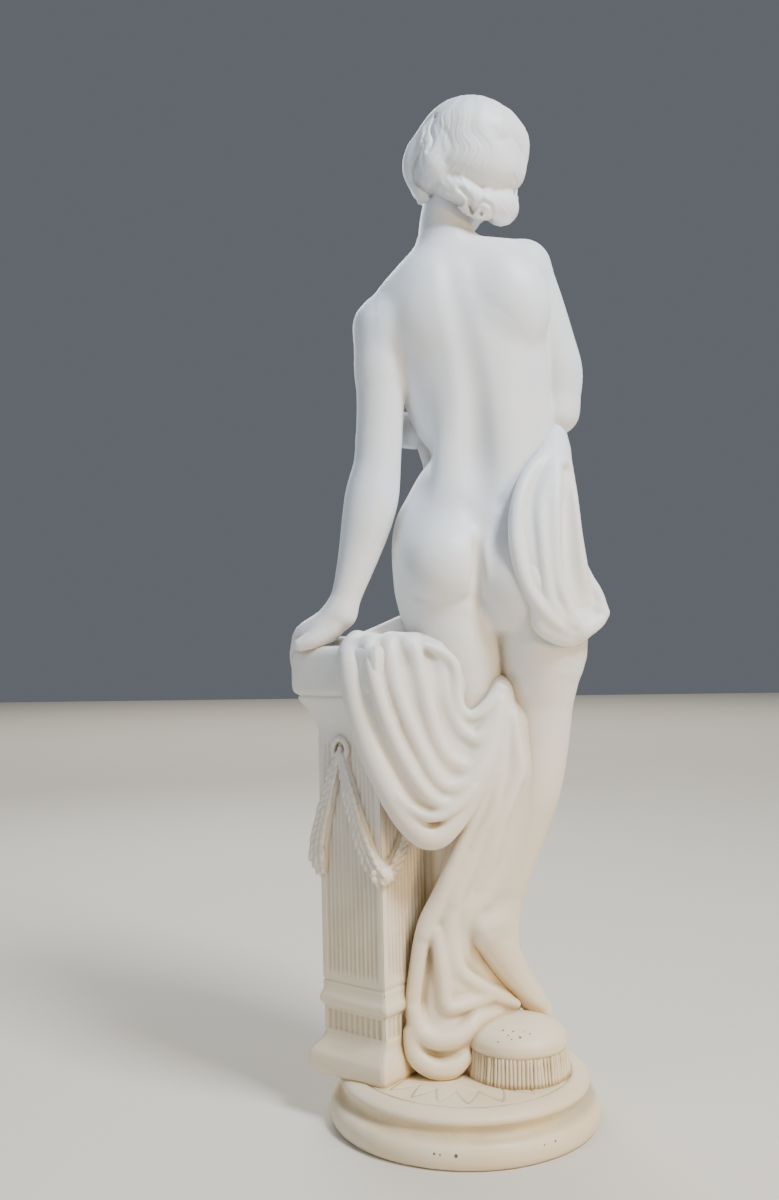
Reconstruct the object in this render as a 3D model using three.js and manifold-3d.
// A marble statue on its round moulded plinth: a standing figure seen from behind, one hand on a
// square fluted pillar, with draped cloth, a garland and a round fringed cushion. It is one solid.
// Millimetres, +Z up. The origin is the middle of the plinth's underside, the figure faces +Y.
import * as THREE from "three";
import { mergeVertices } from "three/addons/utils/BufferGeometryUtils.js";
import Module from "manifold-3d";

const wasm = await Module();
wasm.setup();

// Driving sizes
const PLINTH_RADIUS = 90;
const PLINTH_HEIGHT = 31.5;
// The plinth's middle, from the point between the figure's feet that the other places count from
const PLINTH_CENTRE = [2.8, -1];
const PILLAR_TURN = THREE.MathUtils.degToRad(51.4);
const PILLAR_FOOT = [-56.5, 3];
const PILLAR_HEAD = [-59.5, 3];
const CAP_TOP = 315;
const CAP_HALF = 37.5;
const SHAFT_HALF = 27;
const SHAFT_SHIFT = 2.9;
const FLUTES_A_FACE = 12;
const FLUTE_DEPTH = 1.1;
const CUSHION_CENTRE = [38, -12];
const CUSHION_RADIUS = 35;
const CUSHION_DOME = 33.2;
const CUSHION_TOP = 67;
const FRINGE_TASSELS = 24;
const HEAD_CENTRE = [14, 7, 656];
const HEAD_TILT = THREE.MathUtils.degToRad(9);
const HEAD_TURN = THREE.MathUtils.degToRad(-14);
const HEAD_NOD = THREE.MathUtils.degToRad(6);

// Mesh sizes
const GRID_STEP = 3.3;
const FIGURE_TRIANGLES = 5780;

// Smooth joins between two bodies of flesh, between cloth folds, and where cloth meets flesh
const FLESH_BLEND = 12;
const FOLD_BLEND = 5;
const EDGE_BLEND = 2.5;

// Forms as distances: each shape has a box and a distance in millimetres, negative inside.

function spline(points, stepsEach) {
  const row = (i) => points[Math.max(0, Math.min(points.length - 1, i))];
  const result = [];
  for (let i = 0; i < points.length - 1; i += 1) {
    const [before, start, end, after] = [row(i - 1), row(i), row(i + 1), row(i + 2)];
    for (let step = 0; step < stepsEach; step += 1) {
      const t = step / stepsEach;
      result.push(start.map((value, axis) => catmullRom(before[axis], value, end[axis], after[axis], t)));
    }
  }
  result.push(row(points.length - 1));
  return result;
}

function catmullRom(before, start, end, after, t) {
  const slopeIn = (end - before) / 2;
  const slopeOut = (after - start) / 2;
  const bend = 3 * (end - start) - 2 * slopeIn - slopeOut;
  const twist = 2 * (start - end) + slopeIn + slopeOut;
  return start + t * (slopeIn + t * (bend + t * twist));
}

function ellipsoid(centre, radii, turn = [0, 0, 0]) {
  const euler = new THREE.Euler(...turn.map(THREE.MathUtils.degToRad), "XYZ");
  const e = new THREE.Matrix4().makeRotationFromEuler(euler).invert().elements;
  const [rx, ry, rz] = radii;
  const reach = Math.max(rx, ry, rz);
  return {
    min: centre.map((value) => value - reach),
    max: centre.map((value) => value + reach),
    distance(x, y, z) {
      const [dx, dy, dz] = [x - centre[0], y - centre[1], z - centre[2]];
      const a = (e[0] * dx + e[4] * dy + e[8] * dz) / rx;
      const b = (e[1] * dx + e[5] * dy + e[9] * dz) / ry;
      const c = (e[2] * dx + e[6] * dy + e[10] * dz) / rz;
      const inside = Math.sqrt(a * a + b * b + c * c);
      const slope = Math.sqrt((a / rx) ** 2 + (b / ry) ** 2 + (c / rz) ** 2);
      return slope > 1e-9 ? (inside * (inside - 1)) / slope : -Math.min(rx, ry, rz);
    },
  };
}

// A rounded limb, fold or lock through points of [x, y, z, radius]
function limb(points, stepsEach = 4) {
  const line = spline(points, stepsEach);
  const axes = [0, 1, 2];
  const links = line.length - 1;
  const start = line.map((point) => Float64Array.from(point));
  const reach = start.slice(1).map((point, i) => point.map((value, axis) => value - start[i][axis]));
  const perLength = reach.map(([x, y, z]) => 1 / (x * x + y * y + z * z + 1e-9));
  return {
    min: axes.map((axis) => Math.min(...line.map((point) => point[axis] - point[3]))),
    max: axes.map((axis) => Math.max(...line.map((point) => point[axis] + point[3]))),
    distance(x, y, z) {
      let nearest = Infinity;
      for (let i = 0; i < links; i += 1) {
        const a = start[i];
        const u = reach[i];
        const px = x - a[0];
        const py = y - a[1];
        const pz = z - a[2];
        const along = (px * u[0] + py * u[1] + pz * u[2]) * perLength[i];
        const t = along < 0 ? 0 : Math.min(along, 1);
        const dx = px - t * u[0];
        const dy = py - t * u[1];
        const dz = pz - t * u[2];
        nearest = Math.min(nearest, Math.sqrt(dx * dx + dy * dy + dz * dz) - a[3] - t * u[3]);
      }
      return nearest;
    },
  };
}

// A body of oval slices, each row [z, left, right, back, front]
function slices(rows) {
  const line = spline(rows, 4);
  const low = Math.min(...line.map((row) => row[1]));
  const high = Math.max(...line.map((row) => row[2]));
  const back = Math.min(...line.map((row) => row[3]));
  const front = Math.max(...line.map((row) => row[4]));
  const bottom = line[0][0];
  const top = line[line.length - 1][0];
  let lastLevel = NaN;
  let [left, right, near, far] = [0, 0, 0, 0];
  return {
    min: [low, back, bottom],
    max: [high, front, top],
    distance(x, y, z) {
      const level = Math.max(bottom, Math.min(top, z));
      if (level !== lastLevel) {
        const i = Math.max(1, line.findIndex((row) => row[0] >= level));
        const t = (level - line[i - 1][0]) / (line[i][0] - line[i - 1][0]);
        [, left, right, near, far] = line[i - 1].map(
          (value, column) => value + t * (line[i][column] - value),
        );
        lastLevel = level;
      }
      const halfWide = (right - left) / 2;
      const halfDeep = (far - near) / 2;
      const dx = (x - (left + right) / 2) / halfWide;
      const dy = (y - (near + far) / 2) / halfDeep;
      const round = Math.sqrt(dx * dx + dy * dy) || 1e-6;
      const size = (Math.abs(dx) ** 2.3 + Math.abs(dy) ** 2.3) ** (1 / 2.3);
      const reach = Math.sqrt((dx * halfWide) ** 2 + (dy * halfDeep) ** 2) / round;
      const side = (size - 1) * Math.max(reach, Math.min(halfWide, halfDeep));
      const over = Math.abs(z - level);
      return over > 0 ? Math.hypot(Math.max(side, 0), over) : side;
    },
  };
}

// A block standing on the pillar's own turned axes, with rounded edges
function block(centre, halves, edge) {
  const [c, s] = [Math.cos(PILLAR_TURN), Math.sin(PILLAR_TURN)];
  const reach = Math.hypot(halves[0], halves[1]);
  return {
    min: [centre[0] - reach, centre[1] - reach, centre[2] - halves[2]],
    max: [centre[0] + reach, centre[1] + reach, centre[2] + halves[2]],
    distance(x, y, z) {
      const [dx, dy] = [x - centre[0], y - centre[1]];
      const a = Math.abs(c * dx + s * dy) - halves[0] + edge;
      const b = Math.abs(c * dy - s * dx) - halves[1] + edge;
      const h = Math.abs(z - centre[2]) - halves[2] + edge;
      const outside = Math.hypot(Math.max(a, 0), Math.max(b, 0), Math.max(h, 0));
      return outside + Math.min(Math.max(a, b, h), 0) - edge;
    },
  };
}

const forms = [];

function join(shape, blend) {
  forms.push({ shape, blend, cuts: false });
}

function cut(shape, blend) {
  forms.push({ shape, blend, cuts: true });
}

// Places on the figure's head: across to its left, forward to the face and up, from the head's middle
const headTurn = new THREE.Matrix4()
  .makeRotationY(HEAD_TILT)
  .multiply(new THREE.Matrix4().makeRotationZ(HEAD_TURN))
  .multiply(new THREE.Matrix4().makeRotationX(-HEAD_NOD));

function onHead(across, forward, up) {
  const place = new THREE.Vector3(across, forward, up).applyMatrix4(headTurn);
  return [place.x + HEAD_CENTRE[0], place.y + HEAD_CENTRE[1], place.z + HEAD_CENTRE[2]];
}

function headLump(place, radii, blend, cuts = false) {
  const euler = new THREE.Euler().setFromRotationMatrix(headTurn, "XYZ");
  const turn = [euler.x, euler.y, euler.z].map(THREE.MathUtils.radToDeg);
  forms.push({ shape: ellipsoid(onHead(...place), radii, turn), blend, cuts });
}

function headLine(points, blend, cuts = false) {
  const line = points.map(([across, forward, up, radius]) => [...onHead(across, forward, up), radius]);
  forms.push({ shape: limb(line), blend, cuts });
}

// Grooves of the back, each through points of x, y, z and radius
const SPINE = [
  [-6, -36, 588, 3], [-1, -41, 568, 4], [2, -43, 548, 5], [6.5, -42, 526, 5.5], [11, -39, 503, 6],
  [14.5, -35.5, 479, 6], [16, -31.5, 456, 6], [17, -32.5, 433, 5.5], [16, -35, 411, 4.5], [15, -36, 397, 3.5],
];
const SHOULDER_BLADE = [[10, -40, 556, 2], [26, -42.5, 541, 3.4], [46, -40, 524, 2.4], [52, -37, 512, 2]];
const BUTTOCK_CLEFT = [
  [18, -34, 392, 1.5], [14.5, -35, 378, 3.4], [13.8, -36, 364, 4.2], [14, -36, 350, 4.6],
  [16.5, -34, 338, 4.8],
  [21.5, -30, 326, 4.8], [26, -26, 314, 4.2],
];
const BUTTOCK_CREASES = [
  [[13, -34, 345, 3.4], [2, -38, 341, 3], [-14, -36, 341, 2.4], [-28, -29, 348, 1.4]],
  [[16, -34, 342, 3.6], [25, -38, 333, 4], [40, -41, 326, 3.8], [56, -38, 326, 2]],
];

function torso() {
  join(slices([
    [326, -31, 84, -26, 30],
    [352, -38.5, 84, -31, 36],
    [381, -41.5, 82, -32, 40],
    [402, -38.5, 79, -30, 40],
    [417, -31, 76, -27, 39],
    [433, -22, 75, -23, 37],
    [447, -13, 74, -23, 36],
    [463, -23, 73, -26, 37],
    [482, -31, 70, -30, 39],
    [510, -38, 69, -34, 41],
    [540, -44, 67, -35, 40],
    [562, -42, 65, -33, 35],
    [582, -28, 58, -27, 27],
    [593, -14, 42, -18, 18],
  ]), 1);
  join(ellipsoid([-16, -21, 546], [22, 15, 30], [0, 12, -12]), 14);
  join(ellipsoid([45, -22, 549], [21, 14.5, 28], [0, -24, 12]), 12);
  join(ellipsoid([-1, -18, 455], [11, 9, 48], [0, 6, 0]), 12);
  join(ellipsoid([34, -18, 455], [13, 9.5, 48], [0, -3, 0]), 12);
  join(ellipsoid([-5, -13, 367], [32, 33, 34]), 11);
  join(ellipsoid([45, -13, 355], [35, 35, 34]), 7);
  join(ellipsoid([-14, 30, 538], [20, 20, 19], [-20, 0, 0]), 9);
  join(ellipsoid([38, 30, 541], [20, 20, 19], [-20, 0, 0]), 9);
  cut(limb(SPINE), 10);
  cut(limb(SHOULDER_BLADE), 6);
  cut(limb(BUTTOCK_CLEFT), 5);
  for (const crease of BUTTOCK_CREASES) {
    cut(limb(crease), 5);
  }
}

function shouldersAndNeck() {
  join(limb([
    [2, -4, 590, 16], [-22, -6, 564, 14.5], [-36, -6, 550, 15.5], [-46, -5, 535, 17.8],
  ]), FLESH_BLEND);
  join(limb([[16, 1, 586, 11], [36, 4, 580, 17], [52, 7, 578, 19.5]]), 8);
  join(limb([[-2, -1, 590, 19], [-1, 1, 606, 18.5], [1, 4, 620, 18], [5, 6, 634, 18]]), 9);
}

function leftArm() {
  join(limb([[-46.3, -5, 534, 18.2], [-48, -6, 518, 17.8], [-48, -6, 500, 16.8]], 5), 9);
  join(limb([[-48, -6, 506, 17], [-48, -6, 482, 16.3], [-49.5, -5, 456, 15.8]], 5), 3);
  join(limb([
    [-49.5, -5, 456, 15.8], [-51, -5, 438, 16.3], [-54.5, -5, 419, 18.3], [-58, -6, 402, 17.3],
    [-62.5, -6, 384, 14.8], [-67, -7, 368, 12.4], [-72, -8, 352, 10.4], [-77, -8, 338, 10],
  ], 5), 1.5);
  join(limb([[-77, -8, 338, 10], [-88, -6, 329, 10.5], [-100, 0, 322, 10], [-104, 5, 317, 7]]), 6);
  join(limb([[-84, -11, 326, 7], [-95, -14, 320, 6], [-104, -14, 316.5, 4.5]]), 5);
  for (let finger = 0; finger < 4; finger += 1) {
    const side = finger * 6;
    join(limb([
      [-97 + side * 0.5, 2 + side, 323, 5.2], [-105 + side * 0.6, 6 + side, 319, 4.8],
      [-109 + side * 0.64, 8 + side, 311, 4.2], [-108.5 + side * 0.64, 8.5 + side, 301, 3.7],
    ]), 3.5);
  }
}

function rightArm() {
  join(limb([
    [52, 7, 577, 20], [62, 12, 554, 19], [71.5, 16, 527, 18.2], [77.5, 20, 508, 17.8], [78, 22, 492, 16.2],
    [77, 23, 480, 14.8],
  ], 5), 4);
  join(limb([
    [77, 23, 480, 14.8], [66, 36, 476, 15.6], [44, 46, 473, 14], [14, 50, 470, 11.5], [-8, 46, 468, 9.5],
  ], 5), 6);
  join(limb([[-6, 46, 468, 10], [-18, 39, 469, 10], [-27, 30, 468, 9.5]]), 6);
  for (let finger = 0; finger < 4; finger += 1) {
    const drop = finger * 5.4;
    join(limb([[-24, 36, 478 - drop, 5], [-34, 25, 477 - drop, 4.8], [-38, 14, 474 - drop, 4.2]]), 2.5);
  }
}

function head() {
  headLump([0, -2, 8], [27, 33, 28], 4);
  headLump([0, 14, -8], [24, 24, 33], 8);
  headLump([0, 25, -33], [12, 11, 10], 9);
  for (const side of [-1, 1]) {
    headLump([side * 13, 24, -11], [9, 9, 11], 8);
    headLump([side * 10.5, 41, 0], [7.5, 5.5, 4.5], 5, true);
    headLump([side * 10.5, 33, -0.5], [6, 4.5, 3.6], 2);
    headLine([[side * 4, 37, 5, 1.6], [side * 10, 37, 7.5, 1.7], [side * 17, 32, 5, 1.5]], 3);
    headLump([side * 3.6, 39, -13.5], [2.8, 3.2, 2.4], 2);
  }
  headLine([[0, 37, 6, 2.4], [0, 41, -4, 2.6], [0, 44, -12, 3.6]], 3);
  headLump([0, 38.5, -21], [7.6, 3.2, 2], 2.5);
  headLump([0, 37.5, -25.5], [6, 3.4, 2.4], 2);
}

// Waved hair to the nape: a smooth crown, rolls at the sides and curls along the neck
function hair() {
  join(ellipsoid([16, -2, 661], [36.5, 37, 33]), 2);
  join(ellipsoid([14, -8, 644], [37, 30, 26], [0, 9, 0]), 6);
  join(limb([
    [-11, -3, 669, 8.5], [-18.5, -4, 658, 9.3], [-21.5, -4, 648, 9.3], [-19.5, -4, 639, 9], [-14, -7, 631, 8],
  ]), 4);
  join(limb([[-8, -21, 664, 6.5], [-11, -24, 651, 8], [-10, -25, 640, 9], [-5, -24, 632, 8]]), 4);
  join(limb([[38, -2, 677, 11.5], [46.5, 0, 666, 11.3], [46.5, 2, 652, 10.3], [44, -3, 641, 10]]), 4);
  join(limb([
    [-13, -14, 632, 7.5], [-4, -21, 627, 8.5], [8, -24, 620.5, 9.5], [21, -22, 613.5, 10.5],
    [32, -14, 615.5, 10.5], [37, -6, 617, 11.3],
  ]), 4);
  join(limb([[37, -6, 617, 11.3], [39, 4, 621, 11], [41, 18, 632, 10], [42, 24, 648, 9]]), 4);
  join(limb([[-14, -6, 630, 8], [-16, 10, 638, 9], [-13, 22, 650, 8]]), FOLD_BLEND);
  for (const side of [-1, 1]) {
    headLine([
      [side * 2, 22, 27, 6], [side * 12, 29, 19, 6.5], [side * 22, 27, 8, 7], [side * 26.5, 20, -5, 8],
      [side * 28, 14, -20, 8],
    ], 4);
  }
  cut(limb([[-10, -30, 667, 1.5], [-11.5, -33, 656, 2.4], [-13, -32, 647, 1.5]]), 3);
  cut(limb([[-20, -14, 650, 1.5], [-23, -14, 641, 2.5], [-19, -15, 630, 1.5]]), 3);
}

// The bent leg with its raised heel, from the hip down, each through points of x, y, z and radius
const RIGHT_LEG = [
  [53, -3, 350, 29], [61, -2, 318, 30.5], [59, 1, 295, 27], [58.5, 4, 276, 23.5], [57, 5, 248, 21.5],
  [53, 5, 221, 20.5], [48, 5, 200, 19], [41.5, 4, 180, 17], [35.5, 3, 159, 15.2], [30, 2, 141, 13.4],
];
const RIGHT_FOOT = [
  [[30, 1, 138, 12.5], [24, -3, 130, 13], [17, -5, 126, 12.6]],
  [[29, 2, 128, 13], [30, 3, 110, 12.2], [36.5, 7, 95, 10], [45, 12, 80, 8.4], [58, 21, 60, 8.6]],
  [[19, -3, 120, 11.5], [27, 1, 106, 10], [38, 7, 88, 8.2], [52, 15, 70, 7.6]],
];

function legs() {
  join(limb([
    [-8, -4, 352, 30], [0, -1, 315, 31.5], [3.5, 2, 278, 28], [6, 8, 240, 23], [4, 10, 205, 21],
    [0, 8, 170, 19], [-4, 10, 120, 14], [-6, 12, 62, 11],
  ]), 6);
  join(limb(RIGHT_LEG), 3);
  for (const line of RIGHT_FOOT) {
    join(limb(line), 6);
  }
  join(limb([[34, 14, 100, 10], [46, 22, 80, 9], [60, 32, 52, 8]]), 6);
  for (let toe = 0; toe < 4; toe += 1) {
    join(limb([
      [58 + toe * 2, 20 + toe * 6.5, 46, 5.5], [71 - toe * 0.8, 23 + toe * 6.5, 36, 4.4],
    ]), EDGE_BLEND);
  }
  join(limb([[-6, 12, 62, 12], [-8, 34, 50, 12], [-11, 58, 39, 9]]), 6);
  for (let toe = 0; toe < 5; toe += 1) {
    const small = 0.3 * toe;
    join(limb([
      [-3 - toe * 4.6, 56 - toe, 37, 5.4 - small], [-2 - toe * 5.4, 72 - toe * 2.4, 34, 4.6 - small],
    ]), EDGE_BLEND);
  }
}

// Crests of the folds, seen from behind the figure, each through points of x, y and z. The swags
// hang from the pillar's cap to the knot of folds between the thighs, the lowest one first.
const HEM = [
  [-66, -12, 318, 8], [-70, -31, 309, 8], [-66.5, -35, 282, 8.5], [-57, -38, 249, 9], [-42, -40, 216, 9],
  [-29.5, -40, 198, 9], [-19, -39, 191.5, 9], [-8, -37, 196.5, 8.5], [8, -33, 217, 7.5], [21, -27, 246, 6],
  [29, -23, 266, 4.5],
];
const HEM_RIDGE = [
  [-65, -42, 309], [-57, -46, 262], [-40, -48, 222], [-22.6, -48, 201], [-6.3, -45, 206], [12.5, -38, 226],
  [28, -30, 260],
];
const SWAGS = [
  [[-57, -42, 315], [-52.3, -51, 287], [-40, -50, 251.6], [-22.3, -49, 221], [-6.2, -46, 212.3],
   [11.1, -40, 224], [28, -30, 262]],
  [[-44, -40, 316], [-39.4, -47, 286.7], [-25, -47, 249], [-11.2, -46, 225.7], [4.5, -42, 226.4],
   [19.6, -35, 243], [28.3, -30, 268]],
  [[-28, -38, 316], [-24.3, -43, 296], [-13.8, -43, 255], [-3.6, -41, 240], [9.5, -39, 237],
   [20.6, -34, 254], [28.5, -30, 277]],
  [[-11, -33, 314], [-7.8, -35, 286], [0.3, -36, 263], [8, -37, 255], [15.3, -36, 255.4], [25, -31, 268.8],
   [31.4, -27, 285]],
];
const SWAG_SIZES = [5, 5.2, 5, 4.4];
const SMALL_SWAG = [[-38.4, -48, 217], [-27, -50, 207.6], [-16, -50, 204.8], [-4, -47, 210], [9, -41, 222]];
const CLOTH_RIM = [
  [-20.7, -37, 315.5], [-7.5, -37, 308.7], [-1.2, -36, 300], [-0.5, -35, 286], [2, -35, 273],
  [8.5, -34, 268.5],
  [15.2, -33, 271], [22, -31, 277.3], [28, -27, 287],
];
// The two lobes in which the cloth ends on the plinth
const PLINTH_LOBES = [
  [[-31, -25, 74], [-27, -28, 61], [-17, -31, 56], [-4.4, -30, 57], [6, -25, 63]],
  [[-33.5, -26, 60], [-29.5, -30, 46], [-18.5, -33, 38.5], [-6.7, -32, 38.5], [3, -27, 44]],
];
// Folds that fall from the knot to the plinth, then those that curl round the raised heel
const FALLS = [
  [[26, -32, 248], [15.4, -33, 213.5], [2, -31, 184], [-7.4, -29, 161], [-14.9, -27, 141], [-22.9, -26, 125]],
  [[31.9, -29, 272], [27.2, -30, 230], [22, -29, 204], [11.5, -28, 184], [3.2, -27, 161], [-2.9, -26, 147]],
  [[36.6, -27, 268], [41, -23, 234], [36.2, -23, 217], [26.5, -23, 193.5], [20.4, -21, 172.8],
   [12.3, -19, 155]],
];
const HEEL_FOLDS = [
  [[4, -27, 177], [-3, -27, 153], [-7.6, -24, 129], [-5.7, -21, 114], [0.5, -20, 98], [15.8, -14, 85],
   [38.5, 0, 70]],
  [[-5.4, -28, 164], [-14.1, -27, 147], [-22.9, -26, 129], [-28.5, -24, 100], [-30.9, -24, 72],
   [-19.4, -28, 57], [0.4, -26, 59], [11.4, -20, 67], [24, -8, 66]],
  [[-15.7, -25, 126], [-12.7, -25, 105], [-11, -25, 90], [-8.5, -26, 77], [4, -22, 77], [18, -12, 78]],
];
const HIP_FOLDS = [
  [[71, -13, 450], [60.3, -26, 440], [49, -35, 426], [42, -43, 409], [39.4, -47, 391], [40.4, -50.5, 373],
   [45, -51.5, 354], [54, -50, 339], [68, -44, 326], [84, -33, 320]],
  [[73, -12, 449], [64, -28, 431], [56.5, -41, 405], [56.5, -47, 380], [58.5, -48, 357], [62, -47, 341],
   [74, -42, 328]],
  [[76, -10, 447], [74, -22, 427], [66, -36, 405.5], [64.3, -43, 386], [66, -45, 361], [70.5, -45, 344],
   [76, -42, 331], [85, -35, 324], [95, -28, 329], [101, -24, 334]],
  [[77, -2, 458], [78, -8, 442], [78.5, -12, 426], [81, -15, 412], [82, -17, 394], [83, -18, 376],
   [89, -21, 361], [96, -23, 348], [101, -23, 337]],
];
const HIP_UNDER = [[52, -46, 336], [56, -45, 326], [71, -39, 318.5], [84, -30, 322], [92, -22, 328]];
const POCKET = [
  [76.5, -24, 430, 2.5], [75, -32, 408, 5], [75.5, -37, 386, 6], [76, -40, 368, 6.8], [79, -41, 354, 7.8],
  [85, -38, 343, 6.5], [90, -34, 338, 3],
];

// The line through the points again, as so many points at even distances
function even(points, count) {
  const line = spline(points, 6);
  const along = [0];
  for (let i = 1; i < line.length; i += 1) {
    along.push(along[i - 1] + Math.hypot(...line[i].map((value, axis) => value - line[i - 1][axis])));
  }
  const result = [];
  for (let step = 0; step < count; step += 1) {
    const spot = (along[along.length - 1] * step) / (count - 1);
    const i = Math.max(1, along.findIndex((length) => length >= spot - 1e-9));
    const t = (spot - along[i - 1]) / (along[i] - along[i - 1]);
    result.push(line[i - 1].map((value, axis) => value + t * (line[i][axis] - value)));
  }
  return result;
}

// A rounded fold with its crest, on the viewer's side, through the points
function fold(crest, radius, blend, ends = 0.7) {
  const last = crest.length - 1;
  const line = crest.map(([x, y, z], number) => {
    const size = number === 0 || number === last ? radius * ends : radius;
    return [x, y + size, z, size];
  });
  join(limb(line), blend);
}

// The cloth between two crests, set back by the push where it is farthest from both
function web(first, second, layers, push, radius) {
  const [start, end] = [even(first, 8), even(second, 8)];
  for (let layer = 1; layer <= layers; layer += 1) {
    const t = layer / (layers + 1);
    const back = push * Math.sqrt(1 - (2 * t - 1) ** 2) + radius;
    const line = start.map((point, i) => {
      const [x, y, z] = point.map((value, axis) => value + t * (end[i][axis] - value));
      return [x, y + back, z, radius];
    });
    join(limb(line, 2), FOLD_BLEND);
  }
}

function pillarCloth() {
  join(limb([[-62, -8, 314, 10], [-48, 2, 319, 11], [-34, 2, 324, 12]]), 5);
  join(block([-40, 4, CAP_TOP + 1], [30, 34, 6], 5), 4);
  join(limb([[-56, -18, 296, 20], [-34, -16, 290, 24], [-6, -8, 292, 24]]), 8);
  join(limb([[-44, -22, 250, 18], [-24, -18, 232, 22], [6, -12, 250, 20]]), 8);
  join(limb([[-28, -24, 212, 15], [-4, -20, 214, 18]]), 8);
  join(limb([[8, -20, 232, 14], [24, -13, 262, 13], [29, -8, 284, 11]]), 5);
  web(HEM_RIDGE, SWAGS[0], 2, 5, 8);
  web(SWAGS[0], SWAGS[1], 1, 5.5, 7);
  web(SWAGS[1], SWAGS[2], 2, 5.5, 7);
  web(SWAGS[2], SWAGS[3], 2, 5.5, 7);
  web(SWAGS[3], CLOTH_RIM, 1, 4, 6);
  join(limb(HEM), 3);
  SWAGS.forEach((crest, number) => {
    const [x, y] = crest[0];
    fold([[x + 3, y + 22, CAP_TOP + 6], ...crest], SWAG_SIZES[number], 4, 0.6);
  });
  fold(SMALL_SWAG, 3.2, 4, 0.5);
  fold(CLOTH_RIM, 4, 3);
}

function fallingCloth() {
  join(limb([[27, -12, 266, 13], [24, -8, 228, 17], [12, -4, 182, 19], [2, -2, 142, 18]]), 6);
  join(limb([
    [0, -4, 142, 16], [-10, -3, 110, 17], [-13, -4, 80, 17], [-10, -5, 56, 19], [-8, -1, 36, 20],
  ]), 8);
  join(limb([[-6, 8, 95, 17], [6, 6, 72, 16], [26, 16, 52, 14]]), 6);
  join(limb([
    [40, -6, 262, 9], [41, -5, 231, 9], [34, -4, 200, 10], [26, -4, 170, 11], [16, -4, 146, 11],
  ]), 8);
  join(limb([[1, 0, 120, 11], [7, 3, 102, 11], [19, 9, 86, 11], [35, 18, 68, 10]]), 6);
  join(limb([
    [-22, -8, 66, 12], [-16, -12, 56, 12], [-2, -12, 56, 13], [12, -6, 60, 13], [28, 6, 60, 11],
  ]), 5);
  web(FALLS[0], FALLS[1], 1, 4, 7);
  web(FALLS[1], FALLS[2], 1, 4.5, 7);
  web(HEEL_FOLDS[0], HEEL_FOLDS[2], 1, 4, 7);
  for (const crest of FALLS) {
    fold(crest, 4.6, 4, 0.7);
  }
  for (const crest of HEEL_FOLDS) {
    fold(crest, 5, 4, 0.8);
  }
  for (const crest of PLINTH_LOBES) {
    fold(crest, 6.5, 4);
  }
}

function hipCloth() {
  join(limb([
    [70, 0, 456, 11], [67, -10, 438, 15], [66, -20, 412, 18], [66, -24, 385, 20], [70, -22, 358, 20],
    [78, -18, 340, 12],
  ]), 6);
  join(limb([[69, 10, 462, 8], [72, 8, 440, 9.5], [76, 8, 410, 10], [77, 8, 370, 10], [84, 0, 338, 9]]), 6);
  join(limb([[78, -12, 362, 11], [86, -15, 347, 8], [97, -20, 337, 4]]), 5);
  fold(HIP_UNDER, 5.5, 4, 0.8);
  web(HIP_FOLDS[0], HIP_FOLDS[1], 1, 4, 6);
  web(HIP_FOLDS[1], HIP_FOLDS[2], 1, 4, 6);
  cut(limb(POCKET), 8);
  fold(HIP_FOLDS[0], 5, 3.5, 0.5);
  for (const crest of HIP_FOLDS.slice(1)) {
    fold(crest, 4, 3.5, 0.5);
  }
}

// The hidden front: cloth held at the ribs, falling over the lap to the plinth in long folds
const SKIRT = [
  [474, -24, 62, 22, 46],
  [450, -9, 71, 14, 48],
  [425, -14, 77, 8, 52],
  [395, -27, 81, 6, 55],
  [360, -32, 82, 4, 57],
  [310, -32, 74, 2, 53],
  [260, -32, 58, 2, 47],
  [200, -32, 38, 0, 42],
  [120, -36, 26, 0, 42],
  [34, -42, 24, -4, 48],
];

function onSkirt(height, turn, radius) {
  const i = Math.max(1, SKIRT.findIndex((row) => row[0] <= height));
  const t = (height - SKIRT[i - 1][0]) / (SKIRT[i][0] - SKIRT[i - 1][0]);
  const [, left, right, back, front] = SKIRT[i - 1].map(
    (value, column) => value + t * (SKIRT[i][column] - value),
  );
  const angle = THREE.MathUtils.degToRad(turn);
  return [
    (left + right) / 2 + ((right - left) / 2) * Math.cos(angle),
    (back + front) / 2 + ((front - back) / 2 - 1) * Math.sin(angle),
    height,
    radius,
  ];
}

function frontCloth() {
  join(slices([...SKIRT].reverse()), 5);
  for (let fold = 0; fold < 8; fold += 1) {
    const across = fold / 7;
    const turn = (height) => 172 - (104 + 0.12 * (470 - height)) * across;
    const heights = [472, 430, 380, 330, 270, 200, 120, 60, 36];
    const line = heights.map(
      (height) => onSkirt(height, turn(height) + 4 * Math.sin(height / 40 + fold), 4.6),
    );
    join(limb(line, 3), 4);
  }
  for (let fold = 0; fold < 4; fold += 1) {
    const drop = 22 * fold;
    join(limb([
      onSkirt(440 - drop, 12, 4), onSkirt(408 - drop, 50, 5.5), onSkirt(388 - drop * 1.1, 90, 6),
      onSkirt(396 - drop, 128, 5.5), onSkirt(420 - drop, 165, 3.5),
    ], 5), 4);
  }
}

// A place on the shaft, from its near corner along the left face, or the right one below zero
function onShaft(along, height, proud) {
  const lean = (height - PLINTH_HEIGHT) / (CAP_TOP - PLINTH_HEIGHT);
  const middle = PILLAR_FOOT.map((value, axis) => value + lean * (PILLAR_HEAD[axis] - value));
  middle[0] += SHAFT_SHIFT;
  const face = SHAFT_HALF + proud;
  const [c, s] = [Math.cos(PILLAR_TURN), Math.sin(PILLAR_TURN)];
  const [u, v] = along >= 0 ? [-face, -SHAFT_HALF + along] : [-SHAFT_HALF - along, -face];
  return [middle[0] + c * u - s * v, middle[1] + s * u + c * v, height];
}

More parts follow.
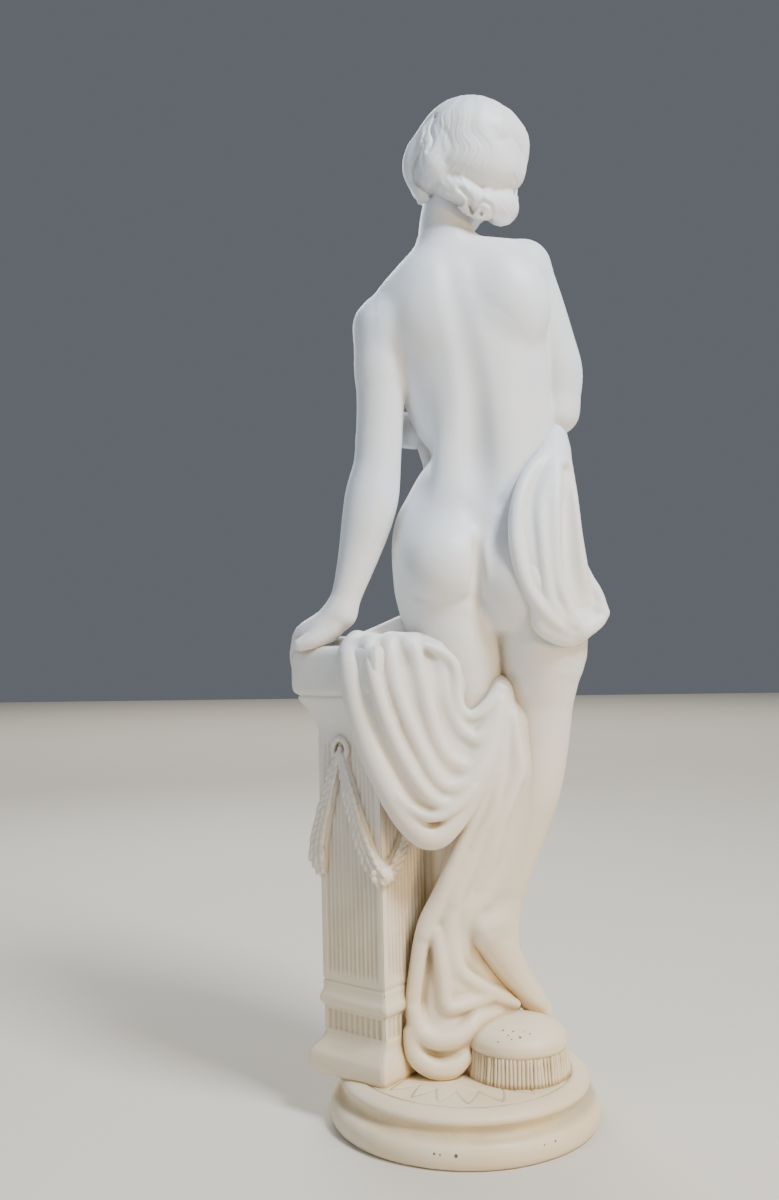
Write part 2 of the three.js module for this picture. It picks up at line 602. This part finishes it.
// The garland's two hanging ends: distance from the shaft's near corner, height and half the width
const GARLAND_ENDS = [
  [
    [33, 243, 3.6], [38, 232, 5.2], [43, 216, 6.4], [49, 198, 7.8], [53, 182, 8.8], [53.5, 171, 8],
    [52, 165, 5],
  ],
  [[31, 241, 4], [27, 226, 6], [21, 206, 7.2], [14, 187, 7.8], [6, 172, 8], [0.5, 166, 7.4]],
  [[0.5, 166, 7.4], [-8, 169, 7], [-16, 178, 6.4], [-24, 191, 5.4]],
];
const RING_HEIGHT = 246;
const RING_ALONG = 33;

function garland() {
  for (const chain of GARLAND_ENDS) {
    const line = chain.map(([along, height, half]) => [...onShaft(along, height, 3 - half * 0.6), half]);
    join(limb(line), 2);
  }
  const ring = [];
  for (let step = 0; step <= 8; step += 1) {
    const turn = THREE.MathUtils.degToRad(30 * step - 30);
    ring.push([...onShaft(RING_ALONG + 6 * Math.cos(turn), RING_HEIGHT + 7.5 * Math.sin(turn), 0.6), 2]);
  }
  join(limb(ring, 1), 1);
  join(ellipsoid(onShaft(RING_ALONG, RING_HEIGHT, 0.2), [2.6, 2.6, 3]), 0.6);
}

// Cores that fill what the crisp stonework covers, so that nothing hollow is left between
function cores() {
  join(block([-55, 3, 165], [SHAFT_HALF - 3, SHAFT_HALF - 3, 134], 2), 0.1);
  join(block([-59, 3, CAP_TOP - 14], [CAP_HALF - 3, CAP_HALF - 3, 12], 2), 0.1);
  const pad = CUSHION_RADIUS - 5;
  join(ellipsoid([...CUSHION_CENTRE, 42], [pad, pad, 18]), 0.1);
  join(limb([[-30, 10, 26, 8], [10, 12, 26, 8], [60, 20, 26, 8]]), 0.1);
}

function softMin(a, b, blend) {
  const near = Math.max(blend - Math.abs(a - b), 0) / blend;
  return Math.min(a, b) - near * near * blend * 0.25;
}

// The forms joined and cut in their order on a regular grid
function sampleForms() {
  const solids = forms.filter(({ cuts }) => !cuts).map(({ shape }) => shape);
  const low = [0, 1, 2].map((axis) => Math.min(...solids.map(({ min }) => min[axis])) - 3 * GRID_STEP);
  const high = [0, 1, 2].map((axis) => Math.max(...solids.map(({ max }) => max[axis])) + 3 * GRID_STEP);
  const count = low.map((value, axis) => Math.ceil((high[axis] - value) / GRID_STEP) + 1);
  const field = new Float32Array(count[0] * count[1] * count[2]).fill(1000);
  const cell = (value, axis) => {
    const number = Math.round((value - low[axis]) / GRID_STEP);
    return Math.max(0, Math.min(count[axis] - 1, number));
  };
  for (const { shape, blend, cuts } of forms) {
    const margin = blend + 3 * GRID_STEP;
    const from = shape.min.map((value, axis) => cell(value - margin, axis));
    const to = shape.max.map((value, axis) => cell(value + margin, axis));
    for (let k = from[2]; k <= to[2]; k += 1) {
      for (let j = from[1]; j <= to[1]; j += 1) {
        for (let i = from[0]; i <= to[0]; i += 1) {
          const at = i + count[0] * (j + count[1] * k);
          const gap = shape.distance(low[0] + i * GRID_STEP, low[1] + j * GRID_STEP, low[2] + k * GRID_STEP);
          field[at] = cuts ? -softMin(-field[at], gap, blend) : softMin(field[at], gap, blend);
        }
      }
    }
  }
  return { field, low, count };
}

// Open space that the outside can't reach is filled
function fillHollows({ field, count }) {
  const reached = new Uint8Array(field.length);
  const strides = [1, count[0], count[0] * count[1]];
  const waiting = [0];
  reached[0] = 1;
  while (waiting.length > 0) {
    const at = waiting.pop();
    for (let axis = 0; axis < 3; axis += 1) {
      const place = Math.floor(at / strides[axis]) % count[axis];
      const before = place > 0 ? at - strides[axis] : -1;
      const after = place < count[axis] - 1 ? at + strides[axis] : -1;
      for (const next of [before, after]) {
        if (next >= 0 && !reached[next] && field[next] > 0) {
          reached[next] = 1;
          waiting.push(next);
        }
      }
    }
  }
  for (let at = 0; at < field.length; at += 1) {
    if (field[at] > 0 && !reached[at]) {
      field[at] = -GRID_STEP;
    }
  }
}

// Six tetrahedra fill a cell, each from its low corner to its high one. Corners are bits x, y, z.
const TETRAHEDRA = [[0, 1, 3, 7], [0, 1, 5, 7], [0, 2, 3, 7], [0, 2, 6, 7], [0, 4, 5, 7], [0, 4, 6, 7]];

function surface({ field, low, count }) {
  const places = [];
  const faces = [];
  const crossings = new Map();
  const strides = [1, count[0], count[0] * count[1]];
  const offset = (corner) => {
    const [x, y, z] = [corner & 1, (corner >> 1) & 1, corner >> 2];
    return x * strides[0] + y * strides[1] + z * strides[2];
  };
  const offsets = [0, 1, 2, 3, 4, 5, 6, 7].map(offset);

  function crossing(cell, first, second) {
    const [a, b] = first < second ? [first, second] : [second, first];
    const key = (cell + offsets[a]) * 8 + (a ^ b);
    if (!crossings.has(key)) {
      const [inner, outer] = [field[cell + offsets[a]], field[cell + offsets[b]]];
      const t = Math.max(0.06, Math.min(0.94, inner / (inner - outer)));
      const origin = strides.map((stride, axis) => Math.floor(cell / stride) % count[axis]);
      crossings.set(key, places.length / 3);
      for (let axis = 0; axis < 3; axis += 1) {
        const start = (a >> axis) & 1;
        const step = ((b >> axis) & 1) - start;
        places.push(low[axis] + (origin[axis] + start + t * step) * GRID_STEP);
      }
    }
    return crossings.get(key);
  }

  function face(a, b, c, inner, outer) {
    const at = (index, axis) => places[index * 3 + axis];
    const side = (from, to) => [0, 1, 2].map((axis) => at(to, axis) - at(from, axis));
    const [u, v] = [side(a, b), side(a, c)];
    const out = [0, 1, 2].map((axis) => ((outer >> axis) & 1) - ((inner >> axis) & 1));
    const facing = out[0] * (u[1] * v[2] - u[2] * v[1]) + out[1] * (u[2] * v[0] - u[0] * v[2])
      + out[2] * (u[0] * v[1] - u[1] * v[0]);
    faces.push(facing >= 0 ? [a, b, c] : [a, c, b]);
  }

  for (let k = 0; k < count[2] - 1; k += 1) {
    for (let j = 0; j < count[1] - 1; j += 1) {
      for (let i = 0; i < count[0] - 1; i += 1) {
        const cell = i + strides[1] * j + strides[2] * k;
        let within = 0;
        for (const step of offsets) {
          within += field[cell + step] < 0 ? 1 : 0;
        }
        if (within === 0 || within === 8) {
          continue;
        }
        const inside = offsets.map((step) => field[cell + step] < 0);
        for (const corners of TETRAHEDRA) {
          const inner = corners.filter((corner) => inside[corner]);
          const outer = corners.filter((corner) => !inside[corner]);
          if (inner.length === 1) {
            face(...outer.map((corner) => crossing(cell, inner[0], corner)), inner[0], outer[0]);
          } else if (inner.length === 3) {
            face(...inner.map((corner) => crossing(cell, corner, outer[0])), inner[0], outer[0]);
          } else if (inner.length === 2) {
            const [p, q] = inner.map((corner) => crossing(cell, corner, outer[0]));
            const [r, s] = inner.map((corner) => crossing(cell, corner, outer[1]));
            face(p, q, s, inner[0], outer[0]);
            face(p, s, r, inner[0], outer[0]);
          }
        }
      }
    }
  }
  return { places, faces };
}

// Edges are collapsed in order of the error that they add, until few enough triangles are left
function thin({ places, faces }, target) {
  const count = places.length / 3;
  const planes = new Float64Array(count * 10);
  const q = new Float64Array(10);
  const around = Array.from({ length: count }, () => new Set());
  const stamp = new Uint32Array(count);
  const alive = new Uint8Array(faces.length).fill(1);
  const point = (index) => [places[index * 3], places[index * 3 + 1], places[index * 3 + 2]];

  function normal(a, b, c) {
    const [ux, uy, uz] = [b[0] - a[0], b[1] - a[1], b[2] - a[2]];
    const [vx, vy, vz] = [c[0] - a[0], c[1] - a[1], c[2] - a[2]];
    return [uy * vz - uz * vy, uz * vx - ux * vz, ux * vy - uy * vx];
  }

  faces.forEach((corners, index) => {
    const [a, b, c] = corners.map(point);
    const across = normal(a, b, c);
    const size = Math.hypot(...across) || 1e-12;
    const [nx, ny, nz] = across.map((value) => value / size);
    const d = -(nx * a[0] + ny * a[1] + nz * a[2]);
    const plane = [nx * nx, nx * ny, nx * nz, nx * d, ny * ny, ny * nz, ny * d, nz * nz, nz * d, d * d];
    for (const corner of corners) {
      around[corner].add(index);
      for (let term = 0; term < 10; term += 1) {
        planes[corner * 10 + term] += plane[term] * size;
      }
    }
  });

  function error(x, y, z) {
    return q[0] * x * x + 2 * q[1] * x * y + 2 * q[2] * x * z + 2 * q[3] * x + q[4] * y * y
      + 2 * q[5] * y * z + 2 * q[6] * y + q[7] * z * z + 2 * q[8] * z + q[9];
  }

  function best(a, b) {
    for (let term = 0; term < 10; term += 1) {
      q[term] = planes[a * 10 + term] + planes[b * 10 + term];
    }
    const [from, to] = [point(a), point(b)];
    const middle = [(from[0] + to[0]) / 2, (from[1] + to[1]) / 2, (from[2] + to[2]) / 2];
    const length = Math.hypot(from[0] - to[0], from[1] - to[1], from[2] - to[2]);
    const [yz, xz, xy] = [q[4] * q[7] - q[5] * q[5], q[1] * q[7] - q[5] * q[2], q[1] * q[5] - q[4] * q[2]];
    const det = q[0] * yz - q[1] * xz + q[2] * xy;
    const choices = [middle, from, to];
    if (Math.abs(det) > 1e-4 * (q[0] + q[4] + q[7]) ** 3) {
      const solved = [
        -(q[3] * yz - q[1] * (q[6] * q[7] - q[5] * q[8]) + q[2] * (q[6] * q[5] - q[4] * q[8])) / det,
        -(q[0] * (q[6] * q[7] - q[8] * q[5]) - q[3] * xz + q[2] * (q[1] * q[8] - q[6] * q[2])) / det,
        -(q[0] * (q[4] * q[8] - q[5] * q[6]) - q[1] * (q[1] * q[8] - q[6] * q[2]) + q[3] * xy) / det,
      ];
      if (Math.hypot(solved[0] - middle[0], solved[1] - middle[1], solved[2] - middle[2]) < length) {
        choices.push(solved);
      }
    }
    let [place, cost] = [middle, Infinity];
    for (const choice of choices) {
      const added = error(choice[0], choice[1], choice[2]);
      if (added < cost) {
        [place, cost] = [choice, added];
      }
    }
    return { a, b, place, cost: cost + 0.002 * length ** 3, stamps: stamp[a] + stamp[b] };
  }

  const heap = [];
  function push(item) {
    let at = heap.push(item) - 1;
    while (at > 0 && heap[(at - 1) >> 1].cost > item.cost) {
      heap[at] = heap[(at - 1) >> 1];
      at = (at - 1) >> 1;
    }
    heap[at] = item;
  }

  function pop() {
    const top = heap[0];
    const item = heap.pop();
    let at = 0;
    while (2 * at + 1 < heap.length) {
      let child = 2 * at + 1;
      if (child + 1 < heap.length && heap[child + 1].cost < heap[child].cost) {
        child += 1;
      }
      if (heap[child].cost >= item.cost) {
        break;
      }
      heap[at] = heap[child];
      at = child;
    }
    if (heap.length > 0) {
      heap[at] = item;
    }
    return top;
  }

  function neighbours(index) {
    const ring = new Set();
    for (const face of around[index]) {
      faces[face].forEach((corner) => ring.add(corner));
    }
    ring.delete(index);
    return ring;
  }

  function turnsOver(index, other, place) {
    for (const face of around[index]) {
      if (faces[face].includes(other)) {
        continue;
      }
      const before = faces[face].map(point);
      const after = faces[face].map((corner) => (corner === index ? place : point(corner)));
      const [m, n] = [normal(...before), normal(...after)];
      const facing = m[0] * n[0] + m[1] * n[1] + m[2] * n[2];
      if (facing < 0.25 * Math.hypot(...m) * Math.hypot(...n) || Math.hypot(...n) < 0.02) {
        return true;
      }
    }
    return false;
  }

  for (const [a, b, c] of faces) {
    for (const [from, to] of [[a, b], [b, c], [c, a]]) {
      if (from < to) {
        push(best(from, to));
      }
    }
  }
  let left = faces.length;
  while (left > target && heap.length > 0) {
    const { a, b, place, stamps } = pop();
    if (around[a].size === 0 || around[b].size === 0 || stamps !== stamp[a] + stamp[b]) {
      continue;
    }
    const shared = [...around[a]].filter((face) => around[b].has(face));
    const ring = neighbours(a);
    const common = [...neighbours(b)].filter((index) => ring.has(index));
    if (shared.length !== 2 || common.length !== 2 || turnsOver(a, b, place) || turnsOver(b, a, place)) {
      continue;
    }
    for (const face of shared) {
      alive[face] = 0;
      faces[face].forEach((corner) => around[corner].delete(face));
      left -= 1;
    }
    for (const face of around[b]) {
      faces[face] = faces[face].map((corner) => (corner === b ? a : corner));
      around[a].add(face);
    }
    around[b].clear();
    for (let axis = 0; axis < 3; axis += 1) {
      places[a * 3 + axis] = place[axis];
    }
    for (let term = 0; term < 10; term += 1) {
      planes[a * 10 + term] += planes[b * 10 + term];
    }
    stamp[a] += 1;
    for (const index of neighbours(a)) {
      push(best(a, index));
    }
  }
  return { places, faces: faces.filter((corners, index) => alive[index] === 1) };
}

function manifoldOf(vertProperties, triVerts) {
  return new wasm.Manifold(new wasm.Mesh({ numProp: 3, vertProperties, triVerts }));
}

function solid(geometry) {
  const bare = geometry.clone();
  bare.deleteAttribute("normal");
  bare.deleteAttribute("uv");
  const merged = mergeVertices(bare, 1e-4);
  return manifoldOf(new Float32Array(merged.attributes.position.array), new Uint32Array(merged.index.array));
}

function figureSolid() {
  const grid = sampleForms();
  fillHollows(grid);
  const { places, faces } = thin(surface(grid), FIGURE_TRIANGLES);
  const numbers = new Map();
  const kept = [];
  for (const corner of faces.flat()) {
    if (!numbers.has(corner)) {
      numbers.set(corner, kept.length / 3);
      kept.push(places[corner * 3], places[corner * 3 + 1], places[corner * 3 + 2]);
    }
  }
  const corners = faces.flat().map((corner) => numbers.get(corner));
  return manifoldOf(new Float32Array(kept), new Uint32Array(corners));
}

// The round plinth: a torus, a hollow and a smaller torus under the flat top
function plinthSolid() {
  const outline = [new THREE.Vector2(0, 0), new THREE.Vector2(PLINTH_RADIUS - 1, 0)];
  const bead = (radius, low, high, bulge) => {
    for (let step = 0; step <= 4; step += 1) {
      const angle = Math.PI * (step / 4 - 0.5);
      const height = (low + high) / 2 + (Math.sin(angle) * (high - low)) / 2;
      outline.push(new THREE.Vector2(radius + bulge * Math.cos(angle), height));
    }
  };
  bead(PLINTH_RADIUS - 3, 1.5, 15, 3);
  outline.push(new THREE.Vector2(PLINTH_RADIUS - 8.5, 18), new THREE.Vector2(PLINTH_RADIUS - 8.5, 21));
  bead(PLINTH_RADIUS - 6, 22.5, PLINTH_HEIGHT - 0.5, 4);
  outline.push(new THREE.Vector2(PLINTH_RADIUS - 9, PLINTH_HEIGHT), new THREE.Vector2(0, PLINTH_HEIGHT));
  const geometry = new THREE.LatheGeometry(outline, 40);
  geometry.rotateX(Math.PI / 2);
  geometry.translate(PLINTH_CENTRE[0], PLINTH_CENTRE[1], 0);
  return solid(geometry);
}

// One level of the pillar: its outline on the pillar's own axes, drawn up between two heights
function pillarLevel(outline, low, high, endScale = 1, shift = SHAFT_SHIFT) {
  const geometry = new THREE.ExtrudeGeometry(outline, { depth: high - low, bevelEnabled: false, steps: 1 });
  const positions = geometry.attributes.position;
  const lean = (height) => THREE.MathUtils.clamp((height - PLINTH_HEIGHT) / (CAP_TOP - PLINTH_HEIGHT), 0, 1);
  for (let i = 0; i < positions.count; i += 1) {
    const height = positions.getZ(i) + low;
    const scale = positions.getZ(i) > 0 ? endScale : 1;
    const x = positions.getX(i) * scale;
    const y = positions.getY(i) * scale;
    const [c, s] = [Math.cos(PILLAR_TURN), Math.sin(PILLAR_TURN)];
    const middle = PILLAR_FOOT.map((value, axis) => value + lean(height) * (PILLAR_HEAD[axis] - value));
    positions.setXYZ(i, middle[0] + shift + c * x - s * y, middle[1] + s * x + c * y, height);
  }
  return solid(geometry);
}

function square(half, edge = 1.2) {
  const shape = new THREE.Shape();
  shape.moveTo(-half + edge, -half);
  for (const [x, y] of [[1, -1], [1, 1], [-1, 1], [-1, -1]]) {
    const turned = x * y > 0;
    shape.lineTo(x * (half - (turned ? 0 : edge)), y * (half - (turned ? edge : 0)));
    shape.lineTo(x * (half - (turned ? edge : 0)), y * (half - (turned ? 0 : edge)));
  }
  return shape;
}

function flutedSquare(half, flutes, depth, margin) {
  const points = [];
  const pitch = (2 * half - 2 * margin) / flutes;
  for (let face = 0; face < 4; face += 1) {
    const turn = (face * Math.PI) / 2;
    const place = (along, out) => new THREE.Vector2(
      along * Math.cos(turn) + out * Math.sin(turn),
      along * Math.sin(turn) - out * Math.cos(turn),
    );
    points.push(place(-half, half));
    for (let flute = 0; flute < flutes; flute += 1) {
      const start = -half + margin + flute * pitch;
      points.push(place(start + pitch * 0.12, half), place(start + pitch * 0.5, half - depth));
      points.push(place(start + pitch * 0.88, half));
    }
  }
  return new THREE.Shape(points);
}

function pillarSolid() {
  const levels = [
    pillarLevel(square(32, 2.5), 30, 45, 1, 0),
    pillarLevel(square(31.5, 2), 45, 50, 0.92, 1),
    pillarLevel(square(29, 2), 50, 57, 0.92, 2),
    pillarLevel(flutedSquare(26.6, FLUTES_A_FACE - 2, FLUTE_DEPTH, 3), 57, 72),
    pillarLevel(square(26.8), 72, 74.5, 1.06),
    pillarLevel(square(29, 2), 74.5, 81),
    pillarLevel(square(28.6, 2), 81, 84, 0.95),
    pillarLevel(square(SHAFT_HALF), 84, 96),
    pillarLevel(flutedSquare(SHAFT_HALF, FLUTES_A_FACE, FLUTE_DEPTH, 5), 96, 253),
    pillarLevel(square(SHAFT_HALF + 0.6), 253, 262),
    pillarLevel(square(SHAFT_HALF + 1.6), 262, 268, 1.04),
    pillarLevel(square(29.6), 268, 279, 1.16, 1.4),
    pillarLevel(square(CAP_HALF - 3), 279, 283, 1.06, 0),
    pillarLevel(square(CAP_HALF, 2.5), 283, CAP_TOP - 2.5, 1, 0),
    pillarLevel(square(CAP_HALF, 2.5), CAP_TOP - 2.5, CAP_TOP, 0.95, 0),
  ];
  return levels.reduce((whole, level) => whole.add(level));
}

// The round cushion: a domed pad over a skirt of tassels
function cushionSolid() {
  const dome = [new THREE.Vector2(0, 47)];
  for (let step = 0; step <= 6; step += 1) {
    const angle = (Math.PI * step) / 12;
    const reach = Math.cos(angle) ** 0.75;
    dome.push(new THREE.Vector2(CUSHION_DOME * reach, 49 + (CUSHION_TOP - 49) * Math.sin(angle)));
  }
  dome[dome.length - 1].x = 0;
  const pad = new THREE.LatheGeometry(dome, 30);
  pad.rotateX(Math.PI / 2);
  pad.translate(CUSHION_CENTRE[0], CUSHION_CENTRE[1], 0);
  const hem = [];
  for (let tassel = 0; tassel < FRINGE_TASSELS; tassel += 1) {
    for (const [part, inset] of [[0, 2.2], [0.3, 0.4], [0.7, 0.4]]) {
      const angle = (2 * Math.PI * (tassel + part)) / FRINGE_TASSELS;
      const radius = CUSHION_RADIUS - inset;
      hem.push(new THREE.Vector2(radius * Math.cos(angle), radius * Math.sin(angle)));
    }
  }
  const skirt = new THREE.ExtrudeGeometry(new THREE.Shape(hem), { depth: 19, bevelEnabled: false });
  skirt.translate(CUSHION_CENTRE[0], CUSHION_CENTRE[1], 30);
  return solid(pad).add(solid(skirt));
}

function statue() {
  torso();
  shouldersAndNeck();
  head();
  hair();
  leftArm();
  rightArm();
  legs();
  frontCloth();
  fallingCloth();
  pillarCloth();
  hipCloth();
  garland();
  cores();
  const stone = figureSolid().add(plinthSolid()).add(pillarSolid()).add(cushionSolid());
  const { numProp, vertProperties, triVerts } = stone.getMesh();
  const places = [];
  for (let i = 0; i < vertProperties.length; i += numProp) {
    places.push(vertProperties[i], vertProperties[i + 1], vertProperties[i + 2]);
  }
  const geometry = new THREE.BufferGeometry();
  geometry.setAttribute("position", new THREE.Float32BufferAttribute(places, 3));
  geometry.setIndex([...triVerts]);
  geometry.translate(-PLINTH_CENTRE[0], -PLINTH_CENTRE[1], 0);
  const marble = new THREE.MeshStandardMaterial({ color: 0xe9e6dc, roughness: 0.55, metalness: 0 });
  const mesh = new THREE.Mesh(geometry, marble);
  mesh.name = "statue";
  return mesh;
}

const group = new THREE.Group();
group.add(statue());

export default group;
